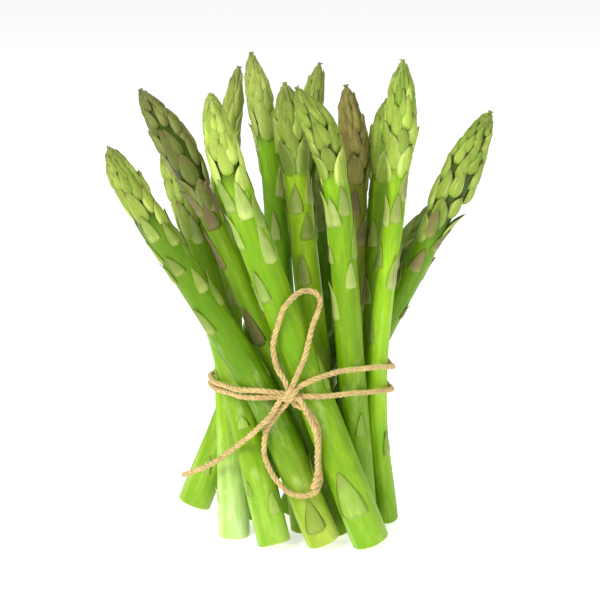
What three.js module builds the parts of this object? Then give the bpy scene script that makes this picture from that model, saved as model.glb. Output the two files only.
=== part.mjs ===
// Bundle of asparagus tied with twine, standing on its cut ends.
// Millimetres, +Z up, X to the right and Y away from the front, the cut ends standing on Z = 0.

import * as THREE from 'three';

// ---------------------------------------------------------------- driving dimensions

const TIE_HEIGHT = 65; // the waist, where the twine holds the spears together
const SPEAR_GAP = 0.45; // air left between two neighbouring spears
const SPEAR_SIDES = 10;
const STEM_RINGS = 15;
const HEAD_RINGS = 9;
const TOP_GIRTH = 0.82; // stem thickness at the neck, as a share of its thickness at the cut end
const HEAD_SWELL_AT = 0.62; // where a head is thickest, from its tip, as a share of its length
const TIP_BLUNTNESS = 0.58; // below 1 rounds the tip off, above 1 makes it a needle
const SETTLE_ROUNDS = 400; // rounds of nudging the spears apart
const SETTLE_STATIONS = 26; // places along each spear that are tested against the others
const SETTLE_SLACK = 0.5; // extra room asked for, because the stations don't meet exactly
const SETTLE_STEP = 0.1; // share of an overlap that one round takes away
const SETTLE_PULL = 0.04; // share of the way back to its wanted place in the first round

const TWINE_RADIUS = 1.15;
const TWINE_CLEARANCE = 1; // air between the taut wrap and the spears' faceted sides
const TWINE_SIDES = 8;
const TWINE_STEP = 4.6; // length of one straight piece of a free stretch
const TWINE_COLOR = 0xd9bd7c;
const OUTLINE_SIDES = 120;
const WRAP_STEPS = 80;

// The wrap's height after a number of turns, from its start at the knot to its end there.
const WRAP_HEIGHTS = [
  [0.02, 67.4], [0.12, 65.8], [0.25, 62.6], [0.5, 61.5], [0.75, 63.3], [0.88, 67], [0.98, 68.2],
  [1.06, 70.0], [1.14, 68.5], [1.25, 65.4], [1.5, 65.5], [1.72, 71], [1.83, 76], [1.9, 77],
  [1.95, 75.6], [1.98, 72.6],
];

const KNOT_AT = [-5, -32.4, 69.5];
const KNOT_SIZE = [6, 4.2, 6];

// The bow's two loops and two ends, laid from the knot outwards.
const UPPER_LOOP = [
  [-6.6, -30.8, 73.8], [-7.8, -30.2, 76], [-10, -29.2, 79.5], [-11.5, -28.2, 85.5], [-11.5, -28.4, 90.5],
  [-9.5, -29.8, 98], [-7.5, -30.1, 104], [-4, -27.8, 108], [0, -25, 110], [4.5, -22.2, 109],
  [7, -21, 105.5], [6, -21.5, 100.5], [4, -23.5, 95.5], [2.5, -26.5, 90], [1, -29, 84.5],
  [-1.5, -30, 78.5], [-3.4, -30.8, 74.2],
];
const LOWER_LOOP = [
  [-6.6, -31, 65.2], [-10, -28.5, 60.5], [-14.5, -25.8, 52.5], [-15.5, -24.5, 44.5], [-15, -23.5, 39.5],
  [-12, -23, 32.5], [-9, -23.5, 28.5], [-5.5, -25.5, 26], [-1.5, -26.5, 25], [3.5, -26.5, 25.5],
  [6, -26, 27.5], [7.2, -25, 31], [7, -24.8, 34], [6.5, -25, 38.5], [6.5, -27, 44.5], [6, -29.3, 55],
  [2, -30.2, 62], [-3.2, -31.2, 65.2],
];
const RIGHT_END = [
  [-1.2, -33.8, 67.8], [0.2, -33.9, 65.8], [1.8, -33.8, 62], [5, -32.9, 54.5], [6, -31.2, 48],
  [6, -29.8, 42.5], [6, -28.6, 36.5], [5.2, -29.0, 32], [4, -29.4, 29],
];
const LEFT_END = [
  [-8.9, -32.6, 67.4], [-13, -30.8, 60], [-18, -28, 54], [-21.5, -24, 49.5], [-27.5, -17, 42.5],
  [-36, -10, 34], [-43, -5, 29], [-50, -1, 25],
];

// Each spear runs through four places: its cut end on the floor, the waist, a bend in or below its
// head, and its tip. `stem` is its thickness at the cut end, `head` that of its head, and `tall` the
// length of its head. A square cut stands on its lower edge, and a flat one lies on the floor. `lift`
// holds a cut end off the floor.
const SPEARS = [
  { name: 'spear_front_left', foot: [9, -17], waist: [-16, -18], bend: [-66, -28, 150.5],
    tip: [-74, -36.7, 169], stem: 14.4, head: 12.2, tall: 42, cut: 'square', lift: 0, color: 0x7fae2e },
  { name: 'spear_left_hidden', foot: [-11.5, -20], waist: [-27.5, -4], bend: [-47.5, 1, 139.5],
    tip: [-56.5, 7, 163.5], stem: 13.8, head: 10.5, tall: 36, cut: 'square', lift: 0, color: 0x9dc24e },
  { name: 'spear_left_purple', foot: [16, -4], waist: [-6.5, -6], bend: [-49, -9, 163.5],
    tip: [-63.5, -11, 187.5], stem: 11.4, head: 14.4, tall: 52, cut: 'square', lift: 0, color: 0x6f8f3a },
  { name: 'spear_front_big', foot: [28.5, -17], waist: [5.5, -19.5], bend: [-31, -23.5, 165.5],
    tip: [-35.5, -29, 188.5], stem: 15.8, head: 13.2, tall: 46, cut: 'square', lift: 0, color: 0x9ac63b },
  { name: 'spear_back_left', foot: [-28.5, -4], waist: [-29.5, 9.5], bend: [-32, 24, 149],
    tip: [-26.5, 32, 191], stem: 13.4, head: 8.4, tall: 38, cut: 'flat', lift: 0, color: 0xb4d873 },
  { name: 'spear_back_tall', foot: [1, 2], waist: [-6.3, 6], bend: [-12.5, 14, 153.5],
    tip: [-21, 22, 198], stem: 11.8, head: 10.6, tall: 42, cut: 'flat', lift: 0, color: 0x8cb248 },
  { name: 'spear_middle', foot: [16, 9], waist: [6.8, 1], bend: [-1.3, 1, 142],
    tip: [-7, 1, 188.5], stem: 12.6, head: 13.4, tall: 36, cut: 'flat', lift: 0, color: 0x86b032 },
  { name: 'spear_front_right', foot: [25, 0], waist: [20, -13], bend: [10, -18, 165.5],
    tip: [-2, -23, 190], stem: 12.4, head: 12.6, tall: 40, cut: 'square', lift: 0, color: 0x86b437 },
  { name: 'spear_back_crossing', foot: [-46.5, 16], waist: [-24.6, 18], bend: [1, 24, 149],
    tip: [7.5, 32, 192.5], stem: 14.2, head: 9.5, tall: 38, cut: 'square', lift: 4, color: 0x9ac24a },
  { name: 'spear_back_brown', foot: [24, 14], waist: [19, 2], bend: [24, 8, 151.5],
    tip: [18, 9, 186.5], stem: 10.8, head: 11.0, tall: 40, cut: 'flat', lift: 0, color: 0x76803f },
  { name: 'spear_right_slim', foot: [33.5, 13], waist: [30, -5], bend: [38, -6, 150.5],
    tip: [39.5, -7, 198.5], stem: 9.4, head: 13.2, tall: 46, cut: 'square', lift: 0, color: 0x80b02c },
  { name: 'spear_right_short', foot: [19, 24], waist: [26, 9], bend: [29.5, 9, 141.5],
    tip: [33.5, 14, 180], stem: 9.6, head: 12.0, tall: 32, cut: 'flat', lift: 0, color: 0x86ae3c },
  { name: 'spear_far_right', foot: [-5, 15], waist: [24, 21], bend: [52.5, 4, 127.5],
    tip: [74.4, -5, 178], stem: 12.6, head: 15.4, tall: 58, cut: 'square', lift: 0, color: 0x7da63a },
  { name: 'spear_right_back', foot: [-23, 11], waist: [7, 18], bend: [39, 19, 112],
    tip: [60.5, 23, 139.5], stem: 11, head: 10.5, tall: 38, cut: 'square', lift: 0, color: 0x5f8f2a },
  { name: 'spear_back_short', foot: [8, 27], waist: [11, 27], bend: [8, 27, 128],
    tip: [5.5, 26, 163], stem: 10.4, head: 11, tall: 36, cut: 'flat', lift: 0, color: 0x5f8f2a },
];

// ---------------------------------------------------------------- spears

const UP = new THREE.Vector3(0, 0, 1);
const FRONT = new THREE.Vector3(0, -1, 0);

function controlPoints(spear) {
  return [
    new THREE.Vector3(spear.foot[0], spear.foot[1], spear.lift),
    new THREE.Vector3(spear.waist[0], spear.waist[1], TIE_HEIGHT),
    new THREE.Vector3(...spear.bend),
    new THREE.Vector3(...spear.tip),
  ];
}

function centreLine(places) {
  return new THREE.CatmullRomCurve3(places, false, 'centripetal');
}

// Thickness of a spear, as a radius, at a distance from its tip.
function radiusAt(spear, fromTip, length) {
  const neckRadius = (spear.stem * TOP_GIRTH) / 2;
  if (fromTip > spear.tall) {
    const down = (fromTip - spear.tall) / (length - spear.tall);
    return THREE.MathUtils.lerp(neckRadius, spear.stem / 2, down);
  }
  const along = fromTip / spear.tall;
  if (along > HEAD_SWELL_AT) {
    const ease = THREE.MathUtils.smoothstep(along, HEAD_SWELL_AT, 1);
    return THREE.MathUtils.lerp(spear.head / 2, neckRadius, ease);
  }
  const rise = Math.sin((along / HEAD_SWELL_AT) * Math.PI * 0.5);
  return (spear.head / 2) * Math.pow(rise, TIP_BLUNTNESS);
}

// Stations along a spear, cut end first, each with its centre, direction and radius.
function stations(spear, places, distances) {
  const line = centreLine(places);
  const length = line.getLength();
  return distances(length, spear.tall).map((distance) => {
    const along = distance / length;
    return {
      centre: line.getPointAt(along),
      direction: line.getTangentAt(along),
      radius: radiusAt(spear, length - distance, length),
    };
  });
}

function evenDistances(length) {
  return Array.from({ length: SETTLE_STATIONS }, (_, i) => (length * (i + 0.5)) / SETTLE_STATIONS);
}

function ringDistances(length, headLength) {
  const neck = length - headLength;
  const stem = Array.from({ length: STEM_RINGS }, (_, i) => (neck * i) / STEM_RINGS);
  const head = Array.from({ length: HEAD_RINGS }, (_, i) => (
    neck + headLength * Math.sin((i / HEAD_RINGS) * Math.PI * 0.5)
  ));
  return [...stem, ...head];
}

// Nudges the spears' places sideways until no two of them touch, as tying does to a real bunch.
function settle(spears) {
  const places = spears.map(controlPoints);
  const wanted = places.map((row) => row.map((place) => place.clone()));
  for (let round = 0; round < SETTLE_ROUNDS; round += 1) {
    const rows = spears.map((spear, i) => stations(spear, places[i], evenDistances));
    for (let a = 0; a < spears.length; a += 1) {
      for (let b = a + 1; b < spears.length; b += 1) {
        partPair(places[a], places[b], rows[a], rows[b]);
      }
    }
    const pull = SETTLE_PULL * (1 - round / SETTLE_ROUNDS);
    places.forEach((row, i) => row.forEach((place, k) => place.lerp(wanted[i][k], pull)));
  }
  return places;
}

function partPair(placesA, placesB, rowA, rowB) {
  const away = new THREE.Vector3();
  for (const one of rowA) {
    for (const other of rowB) {
      away.subVectors(one.centre, other.centre);
      const overlap = one.radius + other.radius + SPEAR_GAP + SETTLE_SLACK - away.length();
      if (overlap > 0) {
        away.setZ(0).normalize();
        push(placesA, one.centre.z, away, overlap * SETTLE_STEP);
        push(placesB, other.centre.z, away, -overlap * SETTLE_STEP);
      }
    }
  }
}

// Moves the places just below and above a height, each by its nearness.
function push(places, height, direction, distance) {
  for (let k = 0; k + 1 < places.length; k += 1) {
    const low = places[k].z;
    const high = places[k + 1].z;
    if (height >= low && height <= high) {
      const share = (height - low) / (high - low);
      places[k].addScaledVector(direction, distance * (1 - share));
      places[k + 1].addScaledVector(direction, distance * share);
    }
  }
}

// One ring of a spear's surface, around its station.
function ring(station, side) {
  const across = new THREE.Vector3().crossVectors(side, station.direction).normalize();
  const ahead = new THREE.Vector3().crossVectors(station.direction, across).normalize();
  return Array.from({ length: SPEAR_SIDES }, (_, i) => {
    const angle = (i / SPEAR_SIDES) * Math.PI * 2;
    return station.centre
      .clone()
      .addScaledVector(ahead, Math.cos(angle) * station.radius)
      .addScaledVector(across, Math.sin(angle) * station.radius);
  });
}

// A flat-cut spear's end is slid along its stem until it is level with the floor, and a square-cut
// one's lower edge is brought to the floor, or to its lift above it.
function spearRings(spear, places) {
  const line = stations(spear, places, ringDistances);
  const rings = line.map((station) => ring(station, FRONT));
  if (spear.cut === 'flat') {
    const along = line[0].direction;
    rings[0].forEach((point) => point.addScaledVector(along, -point.z / along.z));
  } else {
    const lowest = Math.min(...rings[0].map((point) => point.z));
    rings[0].forEach((point) => point.setZ(point.z + spear.lift - lowest));
  }
  return rings;
}

function spearGeometry(rings, tip) {
  const positions = [...rings.flat(), tip].flatMap((point) => point.toArray());
  const faces = [];
  const last = (rings.length - 1) * SPEAR_SIDES;
  for (let i = 0; i < SPEAR_SIDES; i += 1) {
    const next = (i + 1) % SPEAR_SIDES;
    for (let low = 0; low < last; low += SPEAR_SIDES) {
      const high = low + SPEAR_SIDES;
      faces.push(low + i, high + i, high + next, low + i, high + next, low + next);
    }
    faces.push(last + i, last + SPEAR_SIDES, last + next);
    if (i > 0 && next > 0) faces.push(0, i, next);
  }
  const geometry = new THREE.BufferGeometry();
  geometry.setAttribute('position', new THREE.Float32BufferAttribute(positions, 3));
  geometry.setIndex(faces);
  geometry.computeVertexNormals();
  return geometry;
}

// Raises the middle of a square cut, so that its lower edge comes to the floor.
function raiseFoot(spear, places) {
  const lean = places[1].clone().sub(places[0]).angleTo(UP);
  places[0].z = spear.lift + (spear.cut === 'square' ? (spear.stem / 2) * Math.sin(lean) : 0);
}

function spearMaterial(spear) {
  return new THREE.MeshStandardMaterial({ color: spear.color, roughness: 0.5, metalness: 0 });
}

function twineMaterial() {
  return new THREE.MeshStandardMaterial({ color: TWINE_COLOR, roughness: 0.9, metalness: 0 });
}

// ---------------------------------------------------------------- twine

// A tube's path whose stations are the route's own points, so that the tube bends only there.
class Route extends THREE.Curve {
  constructor(points) {
    super();
    this.points = points;
  }

  getPoint(along, target = new THREE.Vector3()) {
    const place = along * (this.points.length - 1);
    const k = Math.min(Math.floor(place), this.points.length - 2);
    return target.lerpVectors(this.points[k], this.points[k + 1], place - k);
  }

  getUtoTmapping(along) {
    return along;
  }
}

function twineGeometry(points) {
  const outline = new THREE.Shape();
  for (let i = 0; i < TWINE_SIDES; i += 1) {
    const angle = (i / TWINE_SIDES) * Math.PI * 2;
    const x = Math.cos(angle) * TWINE_RADIUS;
    const y = Math.sin(angle) * TWINE_RADIUS;
    if (i === 0) outline.moveTo(x, y);
    else outline.lineTo(x, y);
  }
  return new THREE.ExtrudeGeometry(outline, {
    steps: points.length - 1,
    extrudePath: new Route(points),
    bevelEnabled: false,
  });
}

// A free stretch of twine: a smooth curve through hand-laid places.
function smoothRoute(places) {
  const line = new THREE.CatmullRomCurve3(places.map((place) => new THREE.Vector3(...place)));
  return line.getSpacedPoints(Math.round(line.getLength() / TWINE_STEP));
}

// Where a spear's surface crosses a level, one point for each of its long edges.
function section(rings, level) {
  const points = [];
  for (let r = 0; r + 1 < rings.length; r += 1) {
    for (let i = 0; i < SPEAR_SIDES; i += 1) {
      const low = rings[r][i];
      const high = rings[r + 1][i];
      if (low.z <= level && high.z > level) {
        const share = (level - low.z) / (high.z - low.z);
        points.push(new THREE.Vector2().lerpVectors(
          new THREE.Vector2(low.x, low.y), new THREE.Vector2(high.x, high.y), share));
      }
    }
  }
  return points;
}

// The taut outline round all spears at a level: the furthest point each way, plus the twine's own
// room. It starts and ends behind the knot, and goes from there to the left.
function tautOutline(allRings, level) {
  const levels = [level - TWINE_RADIUS, level, level + TWINE_RADIUS];
  const points = allRings.flatMap((rings) => levels.flatMap((height) => section(rings, height)));
  const outline = [];
  for (let i = 0; i < OUTLINE_SIDES; i += 1) {
    const angle = (-i / OUTLINE_SIDES) * Math.PI * 2;
    const out = new THREE.Vector2(Math.cos(angle), Math.sin(angle));
    const furthest = points.reduce((best, point) => (point.dot(out) > best.dot(out) ? point : best));
    outline.push(furthest.clone().addScaledVector(out, TWINE_RADIUS + TWINE_CLEARANCE));
  }
  const behind = outline.findIndex((point, i) => point.x > KNOT_AT[0] && outline[i + 1].x <= KNOT_AT[0]);
  const [before, after] = [outline[behind], outline[behind + 1]];
  const start = before.clone().lerp(after, (before.x - KNOT_AT[0]) / (before.x - after.x));
  return [start, ...outline.slice(behind + 1), ...outline.slice(0, behind + 1), start];
}

// A point on an outline, at a share of its length counted from beside the knot.
function pointOnOutline(outline, share) {
  const spans = outline.slice(1).map((point, i) => point.distanceTo(outline[i]));
  let left = share * spans.reduce((sum, span) => sum + span, 0);
  let k = 0;
  while (k < spans.length - 1 && left > spans[k]) {
    left -= spans[k];
    k += 1;
  }
  return outline[k].clone().lerp(outline[k + 1], left / spans[k]);
}

// Height of the wrap after a number of turns, eased between its marks.
function wrapHeight(turns) {
  const next = WRAP_HEIGHTS.findIndex((mark) => mark[0] >= turns);
  if (next <= 0) return WRAP_HEIGHTS[0][1];
  const [fromTurn, fromHeight] = WRAP_HEIGHTS[next - 1];
  const [toTurn, toHeight] = WRAP_HEIGHTS[next];
  return THREE.MathUtils.lerp(fromHeight, toHeight, (turns - fromTurn) / (toTurn - fromTurn));
}

function wrapRoute(allRings) {
  const [first] = WRAP_HEIGHTS[0];
  const [last] = WRAP_HEIGHTS[WRAP_HEIGHTS.length - 1];
  return Array.from({ length: WRAP_STEPS + 1 }, (_, i) => {
    const turns = THREE.MathUtils.lerp(first, last, i / WRAP_STEPS);
    const level = wrapHeight(turns);
    const point = pointOnOutline(tautOutline(allRings, level), turns % 1);
    return new THREE.Vector3(point.x, point.y, level);
  });
}

function knotGeometry() {
  const [width, depth, height] = KNOT_SIZE;
  return new THREE.IcosahedronGeometry(1, 1)
    .scale(width / 2, depth / 2, height / 2)
    .translate(...KNOT_AT);
}

// ---------------------------------------------------------------- the bundle

const bundle = new THREE.Group();

function addPiece(name, geometry, material) {
  const mesh = new THREE.Mesh(geometry, material);
  mesh.name = name;
  bundle.add(mesh);
}

const settled = settle(SPEARS);
SPEARS.forEach((spear, i) => raiseFoot(spear, settled[i]));
const allRings = SPEARS.map((spear, i) => spearRings(spear, settled[i]));
SPEARS.forEach((spear, i) => {
  addPiece(spear.name, spearGeometry(allRings[i], settled[i][3]), spearMaterial(spear));
});

addPiece('twine_wrap', twineGeometry(wrapRoute(allRings)), twineMaterial());
addPiece('twine_knot', knotGeometry(), twineMaterial());
addPiece('twine_loop_upper', twineGeometry(smoothRoute(UPPER_LOOP)), twineMaterial());
addPiece('twine_loop_lower', twineGeometry(smoothRoute(LOWER_LOOP)), twineMaterial());
addPiece('twine_end_right', twineGeometry(smoothRoute(RIGHT_END)), twineMaterial());
addPiece('twine_end_left', twineGeometry(smoothRoute(LEFT_END)), twineMaterial());

export default bundle;
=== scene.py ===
"""Looks of a bundle of asparagus tied with twine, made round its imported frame.

Every spear gets a fine ribbed skin, scale leaves and a head of closed buds, and every stretch of
twine is laid up from three plies with loose fibres. Metres, +Z up, the cut ends standing on Z = 0.
"""

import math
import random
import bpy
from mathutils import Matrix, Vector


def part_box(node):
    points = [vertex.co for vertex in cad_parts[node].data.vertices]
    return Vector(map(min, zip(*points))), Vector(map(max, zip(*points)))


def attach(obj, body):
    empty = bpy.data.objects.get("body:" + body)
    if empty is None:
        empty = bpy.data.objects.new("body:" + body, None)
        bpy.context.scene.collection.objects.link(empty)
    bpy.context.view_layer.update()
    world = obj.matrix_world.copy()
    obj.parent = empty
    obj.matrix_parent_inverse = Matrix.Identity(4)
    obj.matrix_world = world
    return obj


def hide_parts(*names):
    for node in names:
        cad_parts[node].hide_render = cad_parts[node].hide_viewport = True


bl_info = {
    "name": "Asparagus Bundle",
    "version": (1, 0, 0),
    "blender": (4, 5, 0),
    "location": "3D View > Sidebar > Asparagus",
    "description": "Makes a tied bundle of asparagus round its packed frame",
    "category": "Object",
}

import bmesh
import bpy
import numpy as np
from bpy.props import FloatProperty, FloatVectorProperty, IntProperty, PointerProperty
from mathutils import Vector

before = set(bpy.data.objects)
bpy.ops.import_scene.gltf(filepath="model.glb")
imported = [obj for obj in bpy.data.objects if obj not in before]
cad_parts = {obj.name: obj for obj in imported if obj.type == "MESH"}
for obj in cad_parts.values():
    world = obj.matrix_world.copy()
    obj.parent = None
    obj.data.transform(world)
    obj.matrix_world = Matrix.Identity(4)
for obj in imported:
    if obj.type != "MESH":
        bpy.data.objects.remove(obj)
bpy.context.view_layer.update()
BODY = "root"
MM = 0.001

# ---------------------------------------------------------------- sizes that the frame fixes

TWINE_DIAMETER = 2.3 * MM
SPEAR_SIDES = 10  # corners in one ring of a CAD spear
TWINE_SIDES = 8  # corners in one ring of a CAD twine tube
WELD = 0.01 * MM  # closer corners than this are one

# The bow's routes, from the knot outwards, and the length of each.
ROUTES = {
    "twine_loop_upper": (0.096, [
        (-0.0066, -0.0308, 0.0738), (-0.0078, -0.0302, 0.076), (-0.01, -0.0292, 0.0795),
        (-0.0115, -0.0282, 0.0855), (-0.0115, -0.0284, 0.0905), (-0.0095, -0.0298, 0.098),
        (-0.0075, -0.0301, 0.104), (-0.004, -0.0278, 0.108), (0, -0.025, 0.11),
        (0.0045, -0.0222, 0.109), (0.007, -0.021, 0.1055), (0.006, -0.0215, 0.1005),
        (0.004, -0.0235, 0.0955), (0.0025, -0.0265, 0.09), (0.001, -0.029, 0.0845),
        (-0.0015, -0.03, 0.0785), (-0.0034, -0.0308, 0.0742),
    ]),
    "twine_loop_lower": (0.109, [
        (-0.0066, -0.031, 0.0652), (-0.01, -0.0285, 0.0605), (-0.0145, -0.0258, 0.0525),
        (-0.0155, -0.0245, 0.0445), (-0.015, -0.0235, 0.0395), (-0.012, -0.023, 0.0325),
        (-0.009, -0.0235, 0.0285), (-0.0055, -0.0255, 0.026), (-0.0015, -0.0265, 0.025),
        (0.0035, -0.0265, 0.0255), (0.006, -0.026, 0.0275), (0.0072, -0.025, 0.031),
        (0.007, -0.0248, 0.034), (0.0065, -0.025, 0.0385), (0.0065, -0.027, 0.0445),
        (0.006, -0.0293, 0.055), (0.002, -0.0302, 0.062), (-0.0032, -0.0312, 0.0652),
    ]),
    "twine_end_right": (0.045, [
        (-0.0012, -0.0338, 0.0678), (0.0002, -0.0339, 0.0658), (0.0018, -0.0338, 0.062),
        (0.005, -0.0329, 0.0545), (0.006, -0.0312, 0.048), (0.006, -0.0298, 0.0425),
        (0.006, -0.0286, 0.0365), (0.0052, -0.029, 0.032), (0.004, -0.0294, 0.029),
    ]),
    "twine_end_left": (0.071, [
        (-0.0089, -0.0326, 0.0674), (-0.013, -0.0308, 0.06), (-0.018, -0.028, 0.054),
        (-0.0215, -0.024, 0.0495), (-0.0275, -0.017, 0.0425), (-0.036, -0.01, 0.034),
        (-0.043, -0.005, 0.029), (-0.05, -0.001, 0.025),
    ]),
}

# ---------------------------------------------------------------- colours of single spears

# Each spear's look: the record's slot, colours of its stem's foot, stem and neck, of its buds and
# their margins, and of its scale leaves, how purple it is, and where its spiral of buds starts.
SPEARS = {
    "spear_front_left": dict(slot="spear_green", foot="#b8cc50", stem="#70980e", neck="#6c8f12",
                             bud="#96aa41", margin="#c2d070", scale="#8f9f4c", purple=0.25, turn=0.4),
    "spear_left_hidden": dict(slot="spear_pale", foot="#a4cc4c", stem="#8eb519", neck="#82a51d",
                              bud="#9bad47", margin="#bdce74", scale="#8f9a58", purple=0.3, turn=2.1),
    "spear_left_purple": dict(slot="spear_purple", foot="#82a11a", stem="#80a818", neck="#7f9a1e",
                              bud="#77813c", margin="#a2a267", scale="#8d745c", purple=0.8, turn=3.3),
    "spear_front_big": dict(slot="spear_pale", foot="#94c032", stem="#87b014", neck="#8cb61c",
                            bud="#b0c654", margin="#d9e78b", scale="#a6b866", purple=0.1, turn=5.2),
    "spear_back_left": dict(slot="spear_pale", foot="#d8f0a4", stem="#a0c725", neck="#8aaa20",
                            bud="#9fac4d", margin="#c1cc7a", scale="#aeb96e", purple=0.15, turn=1.2),
    "spear_back_tall": dict(slot="spear_green", foot="#97b821", stem="#74a416", neck="#80ac1a",
                            bud="#a5b553", margin="#ccd683", scale="#a0ab62", purple=0.15, turn=4.0),
    "spear_middle": dict(slot="spear_green", foot="#8ab119", stem="#a8cc24", neck="#a6c826",
                         bud="#8ca040", margin="#c5d577", scale="#98a458", purple=0.2, turn=0.9),
    "spear_front_right": dict(slot="spear_green", foot="#85ad1a", stem="#80a616", neck="#87b419",
                              bud="#8ea33a", margin="#c1cf70", scale="#a9b568", purple=0.1, turn=2.7),
    "spear_back_crossing": dict(slot="spear_pale", foot="#9cc43c", stem="#8eb51b", neck="#82a11f",
                                bud="#9cad4a", margin="#c2ce77", scale="#98a05c", purple=0.2, turn=5.8),
    "spear_back_brown": dict(slot="spear_purple", foot="#7a941d", stem="#76861d", neck="#787d20",
                             bud="#968a48", margin="#b2aa69", scale="#7f6850", purple=0.9, turn=1.7),
    "spear_right_slim": dict(slot="spear_green", foot="#85af1b", stem="#a2d024", neck="#90b81e",
                             bud="#a0b847", margin="#c5d67a", scale="#a3a768", purple=0.15, turn=3.9),
    "spear_right_short": dict(slot="spear_green", foot="#8ab11d", stem="#82a916", neck="#82a51a",
                              bud="#9bb243", margin="#c5d575", scale="#9fa962", purple=0.15, turn=4.7),
    "spear_far_right": dict(slot="spear_green", foot="#8aad1f", stem="#749f13", neck="#739916",
                            bud="#8ea53e", margin="#bbca6d", scale="#94805c", purple=0.35, turn=0.1),
    "spear_right_back": dict(slot="spear_green", foot="#82a120", stem="#5c8914", neck="#5c8417",
                             bud="#79923a", margin="#a0b05f", scale="#7d7a50", purple=0.3, turn=2.3),
    "spear_back_short": dict(slot="spear_green", foot="#88a82d", stem="#729a19", neck="#709820",
                             bud="#8f9e4a", margin="#b4bd7a", scale="#96985a", purple=0.2, turn=3.0),
}


# ---------------------------------------------------------------- settings


class SpearSettings(bpy.types.PropertyGroup):
    """Sizes of a spear's skin, buds and scale leaves."""

    columns: IntProperty(
        name="Columns", description="Faces round a spear's skin", default=72, min=12
    )
    row_step: FloatProperty(
        name="Row step", description="Length of a face along a spear's skin",
        default=1.1 * MM, subtype="DISTANCE", unit="LENGTH",
    )
    rib_depth: FloatProperty(
        name="Rib depth", description="Depth of the soft ribs along a stem",
        default=0.06 * MM, subtype="DISTANCE", unit="LENGTH",
    )
    bulge: FloatProperty(
        name="Bud bulge", description="Most that the buds stand over the core of a head",
        default=1.7 * MM, subtype="DISTANCE", unit="LENGTH",
    )
    tip_gap: FloatProperty(
        name="Tip gap", description="Distance between two buds along a spear, at its tip",
        default=0.52 * MM, subtype="DISTANCE", unit="LENGTH",
    )
    opening: FloatProperty(
        name="Opening", description="How fast the gaps between buds grow down the spear",
        default=0.02, min=0.001,
    )
    bud_length: FloatProperty(
        name="Bud length", description="Length of a bud at the neck of a head",
        default=15.5 * MM, subtype="DISTANCE", unit="LENGTH",
    )
    bud_width: FloatProperty(
        name="Bud width", description="Width of a bud at the neck of a head",
        default=7.8 * MM, subtype="DISTANCE", unit="LENGTH",
    )
    leaf_length: FloatProperty(
        name="Scale leaf length", description="Length of a scale leaf on a stem",
        default=15 * MM, subtype="DISTANCE", unit="LENGTH",
    )
    leaf_width: FloatProperty(
        name="Scale leaf width", description="Width of a scale leaf on a stem",
        default=8.5 * MM, subtype="DISTANCE", unit="LENGTH",
    )


class TwineSettings(bpy.types.PropertyGroup):
    """Sizes and colours of the twine."""

    plies: IntProperty(name="Plies", description="Yarns laid up in the twine", default=3, min=2)
    lay_length: FloatProperty(
        name="Lay length", description="Length of one full turn of the plies",
        default=7.8 * MM, subtype="DISTANCE", unit="LENGTH",
    )
    fibres: FloatProperty(
        name="Fibres", description="Loose fibres on each square metre of ply", default=60000, min=0
    )
    fibre_length: FloatProperty(
        name="Fibre length", description="Length of a loose fibre",
        default=1.9 * MM, subtype="DISTANCE", unit="LENGTH",
    )
    # The pale and dark straw are partly the fibres' own streaks and partly painted light: a painted
    # highlight on the raised fibres and painted shade between them.
    pale: FloatVectorProperty(
        name="Pale straw", description="Colour of the twine's raised fibres",
        default=(0.74, 0.56, 0.23), size=3, subtype="COLOR", min=0, max=1,
    )
    dark: FloatVectorProperty(
        name="Dark straw", description="Colour between the twine's fibres",
        default=(0.34, 0.2, 0.065), size=3, subtype="COLOR", min=0, max=1,
    )


class StageSettings(bpy.types.PropertyGroup):
    """Camera, floor and lights."""

    distance: FloatProperty(
        name="Distance", description="From the camera to the middle of the bundle",
        default=0.8, subtype="DISTANCE", unit="LENGTH",
    )
    elevation: FloatProperty(
        name="Elevation", description="Angle at which the camera looks down",
        default=math.radians(14), subtype="ANGLE", unit="ROTATION",
    )
    aim: FloatVectorProperty(
        name="Aim", description="What the camera looks at",
        default=(-0.001, 0.001, 0.1), size=3, subtype="TRANSLATION", unit="LENGTH",
    )
    lens: FloatProperty(name="Lens", description="Focal length in millimetres", default=117.06)
    floor: FloatVectorProperty(
        name="Floor", description="Colour of the floor",
        default=(0.93, 0.93, 0.92), size=3, subtype="COLOR", min=0, max=1,
    )
    floor_glow: FloatProperty(
        name="Floor glow", description="Light that comes up through the floor", default=0.55, min=0
    )
    light: FloatProperty(name="Light", description="Strength of the studio lights", default=1.0)


# ---------------------------------------------------------------- reading the frame


def welded(node):
    """A CAD node's corners and each one's neighbours, once its loose triangles are joined."""
    mesh = bmesh.new()
    mesh.from_mesh(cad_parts[node].data)
    bmesh.ops.remove_doubles(mesh, verts=mesh.verts, dist=WELD)
    mesh.verts.index_update()
    corners = np.array([tuple(vert.co) for vert in mesh.verts])
    beside = [[edge.other_vert(vert).index for edge in vert.link_edges] for vert in mesh.verts]
    mesh.free()
    return corners, beside


def rings_from(beside, start):
    """Rings of corners round a tube, each the neighbours of the one before it."""
    seen = set(start)
    rings = [list(start)]
    while True:
        ring = sorted({other for corner in rings[-1] for other in beside[corner]} - seen)
        if not ring:
            return rings
        seen.update(ring)
        rings.append(ring)


def smooth_line(places, steps=10):
    """A Catmull-Rom line through places, which are rows of any width, with steps between each two."""
    places = np.asarray(places, float)
    padded = np.vstack([2 * places[0] - places[1], places, 2 * places[-1] - places[-2]])
    line = []
    for before, start, end, after in zip(padded, padded[1:], padded[2:], padded[3:]):
        for t in np.arange(steps) / steps:
            line.append(0.5 * (
                2 * start
                + (end - before) * t
                + (2 * before - 5 * start + 4 * end - after) * t**2
                + (3 * start - before - 3 * end + after) * t**3
            ))
    return np.array(line + [places[-1]])


def run_along(line):
    """The distance along a line of each of its places."""
    spans = np.linalg.norm(np.diff(line[:, :3], axis=0), axis=1)
    return np.concatenate([[0], np.cumsum(spans)])


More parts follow.
